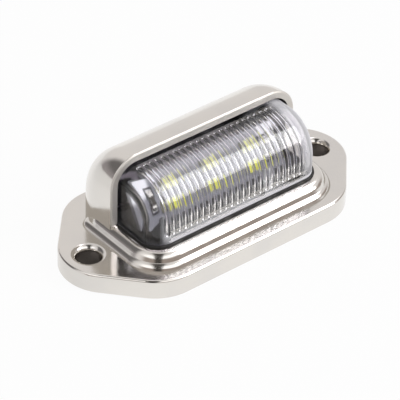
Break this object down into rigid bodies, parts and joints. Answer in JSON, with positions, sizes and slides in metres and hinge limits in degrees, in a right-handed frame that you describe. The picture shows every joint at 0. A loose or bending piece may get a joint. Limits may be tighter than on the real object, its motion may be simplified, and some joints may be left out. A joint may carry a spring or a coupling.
{
  "type": "number plate lamp",
  "caption": "Number plate lamp: a chromed base plate with a hood over a clear fluted lens dome, and a leaning white board of lamps behind the lens.",
  "frame": {"origin": "middle of the mounting face, halfway between the fixing holes", "axes": "+X along the lamp from hole to hole, -Y the way the lens faces, +Z out of the mounting face"},
  "size_m": [0.0764, 0.037, 0.0245],
  "materials": {
    "chrome": "polished chrome plating, slightly warm",
    "lens": "clear moulded plastic, polished",
    "seal": "matt black",
    "cover": "matt light grey, fine grain",
    "board": "white solder mask, satin",
    "package": "white, satin",
    "phosphor": "yellow gel, satin",
    "resistor": "black glaze",
    "solder": "bright tin"
  },
  "bodies": {
    "root": {"base_cover": "cover", "cable_grommet": "seal", "circuit_board": "board", "housing": "chrome", "led_1": "package", "led_2": "package", "led_3": "package", "led_4": "package", "led_5": "package", "led_6": "package", "lens": "lens", "lens_seal": "seal", "phosphor_1": "phosphor", "phosphor_2": "phosphor", "phosphor_3": "phosphor", "phosphor_4": "phosphor", "phosphor_5": "phosphor", "phosphor_6": "phosphor", "resistor_left": "resistor", "resistor_left_caps": "solder", "resistor_right": "resistor", "resistor_right_caps": "solder", "solder_joints": "solder"}
  },
  "joints": []
}
